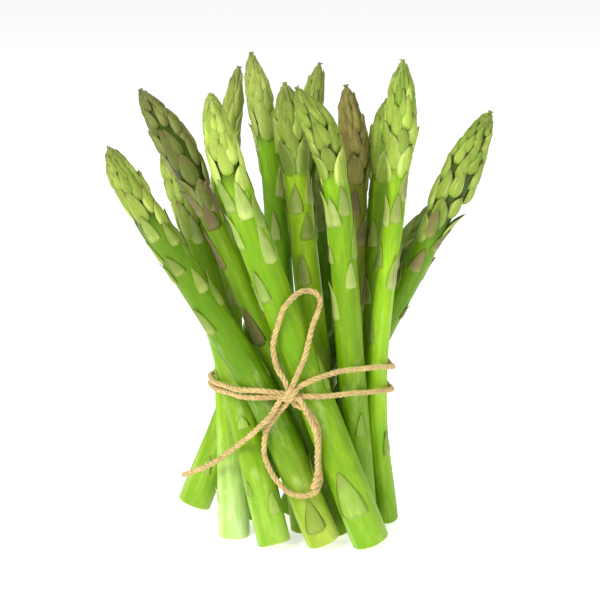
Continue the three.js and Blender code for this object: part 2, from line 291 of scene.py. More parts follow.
def even_line(line, step):
    """The same line with places about a step apart."""
    run = run_along(line)
    at = np.linspace(0, run[-1], max(2, round(run[-1] / step) + 1))
    return np.stack([np.interp(at, run, column) for column in line.T], axis=1)


FOOT_ROOM = 9 * MM  # how far a spear's centre line runs on below its cut end
TIP_ROOM = 3 * MM  # and beyond its tip
LINE_STEP = 0.8 * MM
LEVEL = 0.1 * MM  # a foot ring that is less uneven than this is level
HEAD_FROM = 0.45  # a head's swelling is sought above this share of its spear
SHORTEST_NECK = 4 * MM  # a thinner place nearer than this to the swelling isn't a neck
PLAIN_HEAD = 40 * MM  # the length of a head with no neck below it


class Spear:
    """A spear's centre line and thickness, read from its CAD node."""

    def __init__(self, node):
        corners, beside = welded(node)
        tips = [corner for corner in range(len(corners)) if len(beside[corner]) == SPEAR_SIDES]
        apex = max(tips, key=lambda corner: corners[corner, 2])
        rings = rings_from(beside, [apex])[::-1]
        if any(len(ring) != SPEAR_SIDES for ring in rings[:-1]):
            raise RuntimeError(f"{node} isn't made of rings of {SPEAR_SIDES} corners")
        centres = np.array([corners[ring].mean(axis=0) for ring in rings])
        ways = np.gradient(centres, axis=0)
        ways /= np.linalg.norm(ways, axis=1)[:, None]
        radii = []
        for ring, centre, way in zip(rings, centres, ways):
            arms = corners[ring] - centre
            radii.append(np.linalg.norm(arms - np.outer(arms @ way, way), axis=1).mean())
        radii[0] = 2 * radii[1] - radii[2]
        radii[-1] = 0
        self.cut_level = float(np.ptp(corners[rings[0]][:, 2])) < LEVEL
        self.foot = centres[0]
        way_up = centres[1] - centres[0]
        self.way_up = way_up / np.linalg.norm(way_up)
        way_on = centres[-1] - centres[-2]
        way_on /= np.linalg.norm(way_on)
        line = smooth_line(np.column_stack([centres, radii]))
        line = even_line(line, LINE_STEP)
        self.length = run_along(line)[-1]
        below = np.append(self.foot - self.way_up * FOOT_ROOM, line[0, 3])
        beyond = np.append(centres[-1] + way_on * TIP_ROOM, 0)
        self.line = np.vstack([below, line, beyond])
        self.cut_radius = line[0, 3]
        self.head_length = self.find_head(line)

    def find_head(self, line):
        """A head runs from the tip down to the neck, the thinnest place below its swelling."""
        run = run_along(line)
        upper = run > self.length * HEAD_FROM
        swelling = run[upper][line[upper, 3].argmax()]
        below = upper & (run <= swelling)
        neck = run[below][line[below, 3].argmin()]
        if swelling - neck < SHORTEST_NECK:
            neck = self.length - PLAIN_HEAD
        return self.length - neck

    def radius(self, along):
        return np.interp(along, run_along(self.line), self.line[:, 3])

    def frame_at_foot(self):
        across = np.cross((0, -1, 0), self.way_up)
        across /= np.linalg.norm(across)
        return np.cross(self.way_up, across), across

    def cut_height(self, angle, reach):
        """How far along its line a spear's cut face is, at an angle and a distance from the line."""
        if not self.cut_level:
            return FOOT_ROOM
        ahead, across = self.frame_at_foot()
        lean = reach * (ahead[2] * math.cos(angle) + across[2] * math.sin(angle))
        return FOOT_ROOM + (-self.foot[2] - lean) / self.way_up[2]


def curve_object(name, line):
    """A curve object along a line, whose fourth column is its radius where it has one."""
    curve = bpy.data.curves.new(name, "CURVE")
    curve.dimensions = "3D"
    curve.twist_mode = "MINIMUM"
    spline = curve.splines.new("POLY")
    spline.points.add(len(line) - 1)
    for point, place in zip(spline.points, line):
        point.co = (*place[:3], 1)
        point.radius = place[3] if len(place) > 3 else 1
    made = bpy.data.objects.new(name, curve)
    bpy.context.scene.collection.objects.link(made)
    return made


def mesh_object(name, corners, faces):
    mesh = bpy.data.meshes.new(name)
    mesh.from_pydata([tuple(corner) for corner in corners], [], faces)
    made = bpy.data.objects.new(name, mesh)
    bpy.context.scene.collection.objects.link(made)
    return made


def mark(made, name, kind, values):
    """Stores a value for each of a mesh's corners."""
    attribute = made.data.attributes.new(name, kind, "POINT")
    key = "vector" if kind == "FLOAT_VECTOR" else "value"
    attribute.data.foreach_set(key, np.asarray(values, np.float32).ravel())


# ---------------------------------------------------------------- node trees


class Tree:
    """A Geometry Nodes tree, with short ways to add and join its nodes."""

    def __init__(self, name, inputs):
        self.tree = bpy.data.node_groups.new(name, "GeometryNodeTree")
        face = self.tree.interface
        face.new_socket("Geometry", in_out="INPUT", socket_type="NodeSocketGeometry")
        face.new_socket("Geometry", in_out="OUTPUT", socket_type="NodeSocketGeometry")
        for label, kind in inputs:
            face.new_socket(label, in_out="INPUT", socket_type="NodeSocket" + kind)
        self.enter = self.tree.nodes.new("NodeGroupInput")
        self.leave = self.tree.nodes.new("NodeGroupOutput")

    def input(self, label):
        return self.enter.outputs[label]

    def add(self, kind, *values, settings=None, **named):
        """Adds a node, gives its inputs values or links in order or by name, and returns it."""
        node = self.tree.nodes.new(kind)
        for key, value in (settings or {}).items():
            setattr(node, key, value)
        pairs = list(enumerate(values))
        pairs += [(key.replace("_", " "), value) for key, value in named.items()]
        for key, value in pairs:
            if value is None:
                continue
            if isinstance(value, bpy.types.NodeSocket):
                self.tree.links.new(value, node.inputs[key])
            else:
                node.inputs[key].default_value = value
        return node

    def math(self, operation, *values):
        return self.add("ShaderNodeMath", *values, settings={"operation": operation}).outputs[0]

    def vector(self, operation, *values):
        node = self.add("ShaderNodeVectorMath", *values, settings={"operation": operation})
        return node.outputs["Value" if operation in ("DOT_PRODUCT", "LENGTH") else "Vector"]

    def scaled(self, vector, factor):
        node = self.add("ShaderNodeVectorMath", vector, settings={"operation": "SCALE"})
        self.tree.links.new(factor, node.inputs["Scale"])
        return node.outputs[0]

    def combine(self, x, y, z):
        return self.add("ShaderNodeCombineXYZ", x, y, z).outputs[0]

    def split(self, vector):
        return self.add("ShaderNodeSeparateXYZ", vector).outputs

    def ramp(self, value, low, high, start, end):
        node = self.add("ShaderNodeMapRange", settings={"interpolation_type": "SMOOTHSTEP"},
                        Value=value, From_Min=low, From_Max=high, To_Min=start, To_Max=end)
        return node.outputs[0]

    def random(self, low, high, draw=0):
        """A random number for each point; a different draw gives unrelated ones."""
        node = self.add("FunctionNodeRandomValue", settings={"data_type": "FLOAT"})
        node.inputs[2].default_value = low
        node.inputs[3].default_value = high
        seed = self.math("ADD", self.input("Seed"), float(draw))
        self.tree.links.new(seed, node.inputs["Seed"])
        return node.outputs[1]

    def named(self, name, kind):
        node = self.add("GeometryNodeInputNamedAttribute", name, settings={"data_type": kind})
        return node.outputs[0]

    def store(self, geometry, name, kind, value, domain="POINT"):
        return self.add("GeometryNodeStoreNamedAttribute", Geometry=geometry, Name=name, Value=value,
                        settings={"data_type": kind, "domain": domain}).outputs[0]

    def join(self, *geometries):
        node = self.tree.nodes.new("GeometryNodeJoinGeometry")
        for geometry in reversed(geometries):
            self.tree.links.new(geometry, node.inputs[0])
        return node.outputs[0]

    def painted(self, geometry, material, faces=None):
        """Gives a geometry, or only some faces of it, the material of an input."""
        return self.add("GeometryNodeSetMaterial", Geometry=geometry, Selection=faces,
                        Material=self.input(material)).outputs[0]

    def object_geometry(self, label):
        return self.add("GeometryNodeObjectInfo", self.input(label)).outputs["Geometry"]

    def finish(self, geometry):
        self.tree.links.new(geometry, self.leave.inputs[0])
        return self.tree


def grown(base, tree, values, name):
    """The plain mesh that a tree makes of an object, whose modifier and base are then removed."""
    modifier = base.modifiers.new(tree.name, "NODES")
    modifier.node_group = tree
    sockets = {item.name: item.identifier for item in tree.interface.items_tree
               if item.in_out == "INPUT"}
    for label, value in values.items():
        modifier[sockets[label]] = value
    depsgraph = bpy.context.evaluated_depsgraph_get()
    evaluated = base.evaluated_get(depsgraph)
    mesh = bpy.data.meshes.new_from_object(
        evaluated, preserve_all_data_layers=True, depsgraph=depsgraph
    )
    base.modifiers.remove(modifier)
    mesh.name = name
    made = bpy.data.objects.new(name, mesh)
    bpy.context.scene.collection.objects.link(made)
    discard(base)
    return made


def discard(made):
    data = made.data
    bpy.data.objects.remove(made)
    if data is not None and data.users == 0:
        store = bpy.data.meshes if isinstance(data, bpy.types.Mesh) else bpy.data.curves
        store.remove(data)


# ---------------------------------------------------------------- shaders


# Colours of the finer marks.
PURPLE_BROWN = "#80664a"
WORN_SKIN = "#b9cc80"
SHADED_CORE = "#3a4d12"
DRIED_POINT = "#6a5238"
OLDEST_TIP = "#5f6238"
CUT_PALE, CUT_WET = "#d8dfa0", "#c3cd83"
CUT_STRAND, CUT_RIM = "#8f9a55", "#8a8f4a"
TWINE_LIGHT, TWINE_BROWN, TWINE_FIBRE = "#e2cb82", "#967039", "#d9c382"


def paint(code):
    """A linear colour from a painter's #rrggbb code."""
    parts = [int(code[i:i + 2], 16) / 255 for i in (1, 3, 5)]
    return tuple(p / 12.92 if p <= 0.04045 else ((p + 0.055) / 1.055) ** 2.4 for p in parts)


class Shade:
    """A material, with short ways to add and join its nodes."""

    def __init__(self, name, roughness=0.5, specular=0.5):
        self.material = bpy.data.materials.new(name)
        self.material.use_nodes = True
        self.nodes = self.material.node_tree.nodes
        self.links = self.material.node_tree.links
        self.shader = self.nodes["Principled BSDF"]
        self.shader.inputs["Roughness"].default_value = roughness
        self.shader.inputs["Specular IOR Level"].default_value = specular

    def set(self, node, key, value):
        if isinstance(value, bpy.types.NodeSocket):
            self.links.new(value, node.inputs[key])
        else:
            node.inputs[key].default_value = value

    def attribute(self, name):
        node = self.nodes.new("ShaderNodeAttribute")
        node.attribute_name = name
        return node

    def parts(self, vector):
        node = self.nodes.new("ShaderNodeSeparateXYZ")
        self.set(node, 0, vector)
        return node.outputs

    def math(self, operation, *values):
        node = self.nodes.new("ShaderNodeMath")
        node.operation = operation
        for i, value in enumerate(values):
            self.set(node, i, value)
        return node.outputs[0]

    def stretched(self, vector, scale):
        node = self.nodes.new("ShaderNodeMapping")
        self.set(node, "Vector", vector)
        node.inputs["Scale"].default_value = scale
        return node.outputs[0]

    def noise(self, vector, scale, detail=3, roughness=0.5):
        node = self.nodes.new("ShaderNodeTexNoise")
        self.set(node, "Vector", vector)
        node.inputs["Scale"].default_value = scale
        node.inputs["Detail"].default_value = detail
        node.inputs["Roughness"].default_value = roughness
        return node.outputs["Fac"]

    def ramp(self, value, low, high, start=0.0, end=1.0):
        node = self.nodes.new("ShaderNodeMapRange")
        node.interpolation_type = "SMOOTHSTEP"
        self.set(node, "Value", value)
        for key, number in (("From Min", low), ("From Max", high), ("To Min", start), ("To Max", end)):
            self.set(node, key, number)
        return node.outputs[0]

    def blend(self, factor, low, high, mode="MIX"):
        node = self.nodes.new("ShaderNodeMix")
        node.data_type = "RGBA"
        node.blend_type = mode
        self.set(node, 0, factor)
        for index, colour in ((6, low), (7, high)):
            if isinstance(colour, tuple):
                colour = (*colour[:3], 1)
            self.set(node, index, colour)
        return node.outputs[2]

    def bump(self, height, depth, strength, under=None):
        node = self.nodes.new("ShaderNodeBump")
        self.set(node, "Height", height)
        node.inputs["Distance"].default_value = depth
        node.inputs["Strength"].default_value = strength
        if under is not None:
            self.set(node, "Normal", under)
        return node.outputs[0]

    def done(self, colour, normal=None, roughness=None):
        self.set(self.shader, "Base Color", colour)
        if normal is not None:
            self.set(self.shader, "Normal", normal)
        if roughness is not None:
            self.set(self.shader, "Roughness", roughness)
        return self.material


def glow_through(shade, weight):
    """Lets a little light pass under the skin, as it does in crisp wet stems."""
    shade.shader.inputs["Subsurface Weight"].default_value = weight
    shade.shader.inputs["Subsurface Radius"].default_value = (1.0, 1.3, 0.35)
    shade.shader.inputs["Subsurface Scale"].default_value = 1.6 * MM


def skin_material(name, look):
    """Stem skin: pale foot, green stem with soft blotches and fine lengthwise lines, and painted shade
    under the buds.
    """
    shade = Shade(name + "_skin", roughness=0.4, specular=0.18)
    skin = shade.attribute("skin").outputs["Vector"]
    rise = shade.attribute("rise").outputs["Fac"]
    head = shade.attribute("head").outputs["Fac"]
    lines = shade.noise(shade.stretched(skin, (1, 1, 0.04)), 950, 3, 0.5)
    bands = shade.noise(shade.stretched(skin, (1, 1, 0.12)), 260, 4, 0.6)
    blotches = shade.noise(shade.stretched(skin, (1, 1, 0.45)), 150, 4, 0.6)
    flush = shade.noise(shade.stretched(skin, (1, 1, 0.55)), 55, 4, 0.65)
    colour = shade.blend(shade.ramp(rise, 0.03, 0.32), paint(look["foot"]), paint(look["stem"]))
    colour = shade.blend(shade.ramp(rise, 0.5, 0.8), colour, paint(look["neck"]))
    light = shade.blend(1.0, colour, (1.26, 1.16, 1.5), "MULTIPLY")
    dark = shade.blend(1.0, colour, (0.62, 0.74, 0.4), "MULTIPLY")
    colour = shade.blend(shade.ramp(bands, 0.32, 0.66), dark, colour)
    colour = shade.blend(shade.ramp(blotches, 0.5, 0.75, 0, 0.75), colour, light)
    colour = shade.blend(shade.ramp(lines, 0.35, 0.65, 0.22, 0), colour, dark)
    worn = shade.noise(shade.stretched(skin, (1, 1, 0.35)), 95, 5, 0.7)
    colour = shade.blend(shade.ramp(worn, 0.52, 0.68, 0, 0.5), colour, paint(WORN_SKIN))
    colour = shade.blend(shade.ramp(worn, 0.5, 0.34, 0, 0.8), colour, dark)
    amount = shade.ramp(flush, 0.55, 0.74, 0, look["purple"] * 0.5)
    colour = shade.blend(amount, colour, paint(PURPLE_BROWN))
    # Painted shade: the head's core, seen in the crevices between the buds, is darkened towards
    # SHADED_CORE.
    colour = shade.blend(shade.math("MULTIPLY", head, 0.94), colour, paint(SHADED_CORE))
    normal = shade.bump(lines, 0.1 * MM, 0.5)
    normal = shade.bump(blotches, 0.25 * MM, 0.4, normal)
    glow_through(shade, 0.12)
    shade.shader.inputs["Coat Weight"].default_value = 0.03
    shade.shader.inputs["Coat Roughness"].default_value = 0.3
    return shade.done(colour, normal, shade.ramp(blotches, 0.3, 0.7, 0.36, 0.54))


def leaf_material(name, look):
    """Buds and scale leaves: green middles, pale papery margins and brownish points, with painted shade
    at the buds' bases and edges.
    """
    shade = Shade(name + "_leaf", roughness=0.5, specular=0.22)
    skin = shade.attribute("skin").outputs["Vector"]
    across, along, kind = shade.parts(shade.attribute("leaf").outputs["Vector"])
    tint = shade.attribute("tint").outputs["Fac"]
    rise = shade.attribute("rise").outputs["Fac"]
    edge = shade.math("ABSOLUTE", across)
    veins = shade.noise(shade.stretched(skin, (1, 1, 0.07)), 1500, 3)
    mottle = shade.noise(shade.stretched(skin, (1, 1, 0.6)), 360, 3)
    bud = paint(look["bud"])
    bud = shade.blend(shade.ramp(edge, 0.35, 0.95, 0, 0.8), bud, paint(look["margin"]))
    # Painted shade at the base of each bud, where the crevices between buds lie: the base takes the
    # darker colour of the neck.
    bud = shade.blend(shade.ramp(along, 0.02, 0.3, 0.75, 0), bud, paint(look["neck"]))
    scale = shade.blend(shade.ramp(along, 0.0, 0.35, 0.55, 0), paint(look["scale"]),
                        paint(look["margin"]))
    scale = shade.blend(shade.ramp(edge, 0.45, 1.0, 0, 0.75), scale, paint(look["neck"]))
    streaks = shade.noise(shade.stretched(skin, (1, 1, 0.1)), 620, 4, 0.6)
    bud = shade.blend(shade.ramp(streaks, 0.5, 0.72, 0, 0.6), bud, paint(look["margin"]))
    scale = shade.blend(shade.ramp(streaks, 0.48, 0.7, 0, 0.5), scale, paint(look["neck"]))
    low = shade.ramp(rise, 0.55, 0.35, 0, 0.5)
    scale = shade.blend(low, scale, paint(look["foot"]))
    colour = shade.blend(kind, bud, scale)
    bright = shade.blend(1.0, colour, (1.15, 1.15, 1.15), "MULTIPLY")
    deep = shade.blend(1.0, colour, (0.55, 0.64, 0.42), "MULTIPLY")
    # Painted shade along the edges of the buds, where they meet the next ones; on scale leaves, at less
    # strength, partly painted shade and partly their own darker outline.
    rim = shade.math("MULTIPLY", shade.ramp(edge, 0.86, 1.0, 0, 0.6),
                     shade.ramp(kind, 0.0, 1.0, 1.0, 0.3))
    colour = shade.blend(rim, colour, deep)
    colour = shade.blend(tint, deep, bright)
    ageing = shade.math("MULTIPLY", shade.ramp(along, 0.5, 1.0),
                        shade.ramp(mottle, 0.35, 0.62, 0.25, 1))
    colour = shade.blend(shade.math("MULTIPLY", ageing, 0.35 + 0.5 * look["purple"]), colour,
                         paint(DRIED_POINT))
    colour = shade.blend(shade.ramp(mottle, 0.5, 0.72, 0, 0.15 + 0.6 * look["purple"]), colour,
                         paint(PURPLE_BROWN))
    colour = shade.blend(shade.ramp(rise, 0.94, 1.0, 0, 0.5), colour, paint(OLDEST_TIP))
    colour = shade.blend(shade.ramp(veins, 0.4, 0.65, 0, 0.35), colour, deep)
    normal = shade.bump(veins, 0.12 * MM, 0.6)
    normal = shade.bump(mottle, 0.15 * MM, 0.4, normal)
    glow_through(shade, 0.08)
    return shade.done(colour, normal)


def cut_material():
    """The cut end: moist pale flesh with darker strands and a dried rim."""
    shade = Shade("asparagus_cut_end", roughness=0.55, specular=0.4)
    skin = shade.attribute("skin").outputs["Vector"]
    depth = shade.attribute("depth").outputs["Fac"]
    strands = shade.noise(skin, 1500, 2)
    wet = shade.noise(skin, 260, 3)
    colour = shade.blend(shade.ramp(wet, 0.35, 0.65), paint(CUT_PALE), paint(CUT_WET))
    colour = shade.blend(shade.ramp(strands, 0.58, 0.68, 0, 0.6), colour, paint(CUT_STRAND))
    colour = shade.blend(shade.ramp(depth, 0.8, 1.0, 0, 0.9), colour, paint(CUT_RIM))
    return shade.done(colour, shade.bump(strands, 0.2 * MM, 0.7))


def twine_material(settings):
    """Straw-coloured plant fibre, streaked along each ply."""
    shade = Shade("twine_fibre", roughness=0.85, specular=0.2)
    around, run, loose = shade.parts(shade.attribute("strand").outputs["Vector"])
    turn = shade.math("MULTIPLY", around, 2 * math.pi)
    wrapped = shade.nodes.new("ShaderNodeCombineXYZ")
    shade.set(wrapped, 0, shade.math("COSINE", turn))
    shade.set(wrapped, 1, shade.math("SINE", turn))
    shade.set(wrapped, 2, shade.math("MULTIPLY", run, 1 / MM))
    fibres = shade.noise(shade.stretched(wrapped.outputs[0], (1, 1, 0.22)), 3.2, 4, 0.6)
    patches = shade.noise(shade.stretched(wrapped.outputs[0], (0.2, 0.2, 0.12)), 1.1, 2)
    pale = tuple(settings.pale)
    dark = tuple(settings.dark)
    # Partly the straw's own streaks, partly painted shade between the fibres and a painted highlight on
    # them.
    colour = shade.blend(shade.ramp(fibres, 0.33, 0.62), dark, pale)
    colour = shade.blend(shade.ramp(patches, 0.4, 0.7, 0, 0.45), colour, paint(TWINE_LIGHT))
    colour = shade.blend(shade.ramp(patches, 0.3, 0.45, 0.25, 0), colour, paint(TWINE_BROWN))
    colour = shade.blend(loose, colour, paint(TWINE_FIBRE))
    shade.shader.inputs["Sheen Weight"].default_value = 0.25
    shade.shader.inputs["Sheen Roughness"].default_value = 0.5
    return shade.done(colour, shade.bump(fibres, 0.12 * MM, 0.9))


def floor_material(settings):
    """A matt painted board, even and pale."""
    shade = Shade("stage_floor", roughness=0.7, specular=0.2)
    place = shade.nodes.new("ShaderNodeTexCoord").outputs["Object"]
    grain = shade.noise(place, 6, 2)
    low = tuple(c * 0.99 for c in settings.floor)
    shade.shader.inputs["Emission Color"].default_value = (1, 1, 1, 1)
    shade.shader.inputs["Emission Strength"].default_value = settings.floor_glow
    return shade.done(shade.blend(grain, low, tuple(settings.floor)))


# ---------------------------------------------------------------- spears


BUD, SCALE_LEAF = 0, 1  # the kinds that the leaf attribute's third value tells apart
POINT_WIDTH = 1e-4  # an outline narrower than this is a point


def shell(name, outline, height, rows, spans, kind):
    """A small closed scale: a curved front of rows by spans faces, and a plain underside.

    outline gives its width along it, and height its rise over the skin, along and across. It is
    drawn unrolled: X is the angle round the spear, Y stands off its skin and Z runs along it, from
    0 to 1.
    """
    corners, faces, leaf = [], [], []
    index = {}

    def corner(row, span):
        along = row / rows
        across = 2 * span / spans - 1
        width = outline(along)
        pointed = width <= POINT_WIDTH
        key = (row, 0 if pointed else span)
        if key not in index:
            index[key] = len(corners)
            corners.append((0.5 * width * across, height(along, across), along))
            leaf.append((0 if pointed else across, along, kind))
        return index[key]

    for row in range(rows):
        for span in range(spans):
            face = [corner(row, span), corner(row + 1, span), corner(row + 1, span + 1),
                    corner(row, span + 1)]
            faces.append(list(dict.fromkeys(face)))
        under = [corner(row, spans), corner(row + 1, spans), corner(row + 1, 0), corner(row, 0)]
        faces.append(list(dict.fromkeys(under)))
    if outline(0) > POINT_WIDTH:
        faces.append([corner(0, span) for span in range(spans + 1)])
    made = mesh_object(name, corners, [face for face in faces if len(face) > 2])
    mark(made, "leaf", "FLOAT_VECTOR", leaf)
    return made


def bud_outline(along):
    """Rounded at the base, widest a third of the way up, drawn out to a point."""
    return 2.1 * along**0.42 * (1 - along) ** 0.85 if 0 < along < 1 else 0


def bud_height(along, across):
    """Stands out roundly at its base and lies down towards its point, with a soft keel."""
    swell = math.sin(min(along / 0.4, 1) * math.pi / 2) ** 0.7
    crown = -0.25 + 1.25 * swell - 0.45 * max(0, along - 0.4) ** 1.2
    side = crown - 0.3 - 0.65 * math.sin(math.pi * min(along + 0.06, 1)) ** 0.7
    keel = 0.12 * max(0, 1 - 3 * abs(across))
    return side + (crown - side) * (1 - abs(across) ** 2.2) + keel


def scale_outline(along):
    """Broad where it clasps the stem, with nearly straight sides that run to a sharp point."""
    return (1 - along) ** 0.75 * (1 + 0.25 * math.sin(math.pi * along)) if along < 1 else 0


def scale_height(along, across):
    """Rises at once where it clasps the stem and lies flatter towards its point."""
    crown = 0.1 + 0.9 * min(along / 0.06, 1) ** 0.6 - 0.3 * along + 0.3 * along**4
    side = crown - 0.55
    return side + (crown - side) * (1 - abs(across) ** 2.2)


BUD_ROOM = 0.34  # most of its radius that a head's core gives up to the buds
NECK_SPAN = 0.3  # share of a head, from its neck up, over which its core sinks in

# The cut face, which is a little hollow and rough, with a worn edge.
CUT_RINGS = (0.2, 0.42, 0.62, 0.8, 0.93)  # where its rings of corners are, from its middle out
CUT_HOLLOW = 0.25 * MM
CUT_CENTRE = 0.3 * MM
CUT_ROUGH = 0.04 * MM
CUT_EDGE = 0.22 * MM

FIRST_ROW = 0.15  # how far up the first row of the skin is, in rows
LEAST_ROW = 0.1 * MM  # rows are at least this far apart at a slanting cut
FOOT_SHARE = 1 / 12  # share of a spear over which its rows turn from the cut's slant to level
TIP_SHARE = 1 / 6  # share of a spear over which its relief fades out at the tip

RIM, SKIN = 1, 2  # values of the depth attribute at the cut face's edge and all over the skin

# A stem's relief: two sets of ribs, with how many and their share of the depth, and slow waves.
RIBS = ((12, 0.6), (19, 0.4))
SWAY_DEPTH, SWAY_LENGTH = 0.12 * MM, 11 * MM
SWELL_DEPTH, SWELL_LENGTHS = 0.09 * MM, (8 * MM, 19 * MM)


def core_drop(spear, settings, along):
    """How far a head's core lies inside its outline, to leave room for the buds."""
    from_neck = along - (FOOT_ROOM + spear.length - spear.head_length)
    share = min(max(from_neck / (NECK_SPAN * spear.head_length), 0), 1)
    share = share * share * (3 - 2 * share)
    return share * min(settings.bulge, BUD_ROOM * spear.radius(along))


def unrolled_skin(spear, settings, rng):
    """A spear's skin and cut face, unrolled: X is the angle round it and Z runs along its line."""
    columns = settings.columns
    angles = [2 * math.pi * i / columns for i in range(columns)]
    phases = [rng.uniform(0, 2 * math.pi) for _ in range(6)]
    rows = round(spear.length / settings.row_step)
    corners, depths, faces, cut_faces = [], [], [], []

    def relief(angle, along):
        ribs = sum(share * math.sin(count * angle + phase)
                   for (count, share), phase in zip(RIBS, phases))
        sway = math.sin(along / SWAY_LENGTH + phases[2]) * math.sin(angle + phases[3])
        swell = math.prod(math.sin(along / length + phase)
                          for length, phase in zip(SWELL_LENGTHS, phases[4:]))
        return settings.rib_depth * ribs + SWAY_DEPTH * sway + SWELL_DEPTH * swell

    def add_row(height_of, along_of, depth):
        for angle in angles:
            corners.append((angle, height_of(angle), along_of(angle)))
            depths.append(depth)

    radius = spear.cut_radius
    for share in CUT_RINGS:
        dish = CUT_HOLLOW * math.cos(share * math.pi / 2) + CUT_ROUGH * rng.uniform(-1, 1)
        add_row(lambda a: -radius * (1 - share),
                lambda a: spear.cut_height(a, radius * share) + dish, share)
    add_row(lambda a: -CUT_EDGE, lambda a: spear.cut_height(a, radius), RIM)
    cut_rows = len(corners) // columns
    for row in range(rows):
        share = (row + FIRST_ROW) / rows
        plain = FOOT_ROOM + spear.length * share
        ease = max(0, 1 - share / FOOT_SHARE)

        def along_of(angle):
            cut = spear.cut_height(angle, radius)
            return max(plain + (cut - FOOT_ROOM) * ease, cut + LEAST_ROW * (row + 1))

        drop = core_drop(spear, settings, plain)
        fade = min(1, (1 - share) / TIP_SHARE)
        add_row(lambda a: relief(a, plain) * fade - drop, along_of, SKIN)
    for row in range(len(corners) // columns - 1):
        for i in range(columns):
            low, high = row * columns, (row + 1) * columns
            after = (i + 1) % columns
            faces.append([low + i, high + i, high + after, low + after])
            cut_faces.append(row < cut_rows - 1)
    centre = len(corners)
    corners.append((0, -radius, spear.cut_height(0, 0) + CUT_CENTRE))
    depths.append(0)
    tip = centre + 1
    corners.append((0, 0, FOOT_ROOM + spear.length))
    depths.append(SKIN)
    last = centre - columns
    for i in range(columns):
        after = (i + 1) % columns
        faces.append([centre, i, after])
        cut_faces.append(True)
        faces.append([last + i, tip, last + after])
        cut_faces.append(False)
    made = mesh_object("unrolled_skin", corners, faces)
    mark(made, "depth", "FLOAT", depths)
    cut = made.data.attributes.new("cut", "BOOLEAN", "FACE")
    cut.data.foreach_set("value", cut_faces)
    return made


GOLDEN_ANGLE = math.radians(137.5)  # from one bud to the next round their spiral
SPIRAL_START = 0.6  # how far above the first bud the spiral starts, in buds
SHAKE = 0.28  # most that a bud is off its place on the spiral, in radians
SLIP = 1.3 * MM  # and along the spear
SLIP_SPAN = 12 * MM  # the slip is smaller nearer than this to the tip
BARE_FOOT = 14 * MM  # the spiral ends this far above a spear's foot
LEAF_THICKNESS = 0.55 * MM

# Which row of random numbers each trait of a bud or scale leaf takes.
DRAWS = dict(tint=0, size=100, shake=200, lift=300, slant=400, flare=500, slip=600)


def bud_points(tree, length):
    """Points on a spiral down a spear, close together at its tip and further apart below."""
    index = tree.add("GeometryNodeInputIndex").outputs[0]
    number = tree.math("ADD", index, SPIRAL_START)
    opening = tree.input("Opening")
    widening = tree.math("TANGENT", tree.math("MULTIPLY", number, opening))
    from_tip = tree.math("MULTIPLY", widening, tree.math("DIVIDE", tree.input("Tip Gap"), opening))
    turned = tree.math("MULTIPLY", index, tree.input("Turn"))
    shake = tree.random(-SHAKE, SHAKE, DRAWS["shake"])
    angle = tree.math("ADD", tree.math("ADD", turned, tree.input("First Turn")), shake)
    slip = tree.math("MULTIPLY", tree.ramp(from_tip, 0.0, SLIP_SPAN, 0.2, 1.0),
                     tree.random(-SLIP, SLIP, DRAWS["slip"]))
    along = tree.math("SUBTRACT", length, tree.math("ADD", from_tip, slip))
    points = tree.add("GeometryNodePoints", tree.input("Count"), tree.combine(angle, 0.0, along))
    return points.outputs[0]


def sampled(tree, line, along):
    """Place, direction and radius of a centre line at a distance along it."""
    radius = tree.add("GeometryNodeInputRadius").outputs[0]
    node = tree.add("GeometryNodeSampleCurve", settings={"mode": "LENGTH"}, Curves=line,
                    Value=radius, Length=along)
    return node.outputs["Position"], node.outputs["Tangent"], node.outputs["Value"]


NEAREST = 1.5 * MM  # patterns are laid out as if no place were nearer than this to the line
DARK_FROM = 0.72  # share of a head's length from its tip where the painted shade on its core starts to fade


def rolled(tree, geometry, line, length):
    """Rolls unrolled geometry round a centre line, after noting where on the skin it lies."""
    place = tree.add("GeometryNodeInputPosition").outputs[0]
    angle, height, along = tree.split(place)
    centre, way, radius = sampled(tree, line, along)
    across = tree.vector("NORMALIZE", tree.vector("CROSS_PRODUCT", (0.0, -1.0, 0.0), way))
    ahead = tree.vector("CROSS_PRODUCT", way, across)
    reach = tree.math("MAXIMUM", tree.math("ADD", radius, height), 0.0)
    cosine = tree.math("COSINE", angle)
    sine = tree.math("SINE", angle)
    near = tree.math("MAXIMUM", reach, NEAREST)
    skin = tree.combine(tree.math("MULTIPLY", near, cosine), tree.math("MULTIPLY", near, sine), along)
    geometry = tree.store(geometry, "skin", "FLOAT_VECTOR", skin)
    geometry = tree.store(geometry, "rise", "FLOAT", tree.math("DIVIDE", along, length))
    from_tip = tree.math("DIVIDE", tree.math("SUBTRACT", length, along), tree.input("Head Length"))
    # The head attribute is the mask of the painted shade on the core between the buds.
    geometry = tree.store(geometry, "head", "FLOAT", tree.ramp(from_tip, DARK_FROM, 1.0, 1.0, 0.0))
    arm = tree.vector("ADD", tree.scaled(ahead, tree.math("MULTIPLY", cosine, reach)),
                      tree.scaled(across, tree.math("MULTIPLY", sine, reach)))
    return tree.add("GeometryNodeSetPosition", Geometry=geometry,
                    Position=tree.vector("ADD", centre, arm)).outputs[0]


def leaves_on(tree, points, shape, size, lift, selection=None):
    """Instances of a shape, pressed on the unrolled skin."""
    placed = tree.add("GeometryNodeSetPosition", Geometry=points,
                      Offset=tree.combine(0.0, lift, 0.0)).outputs[0]
    return tree.add("GeometryNodeInstanceOnPoints", Points=placed, Selection=selection,
                    Instance=shape, Scale=size).outputs[0]


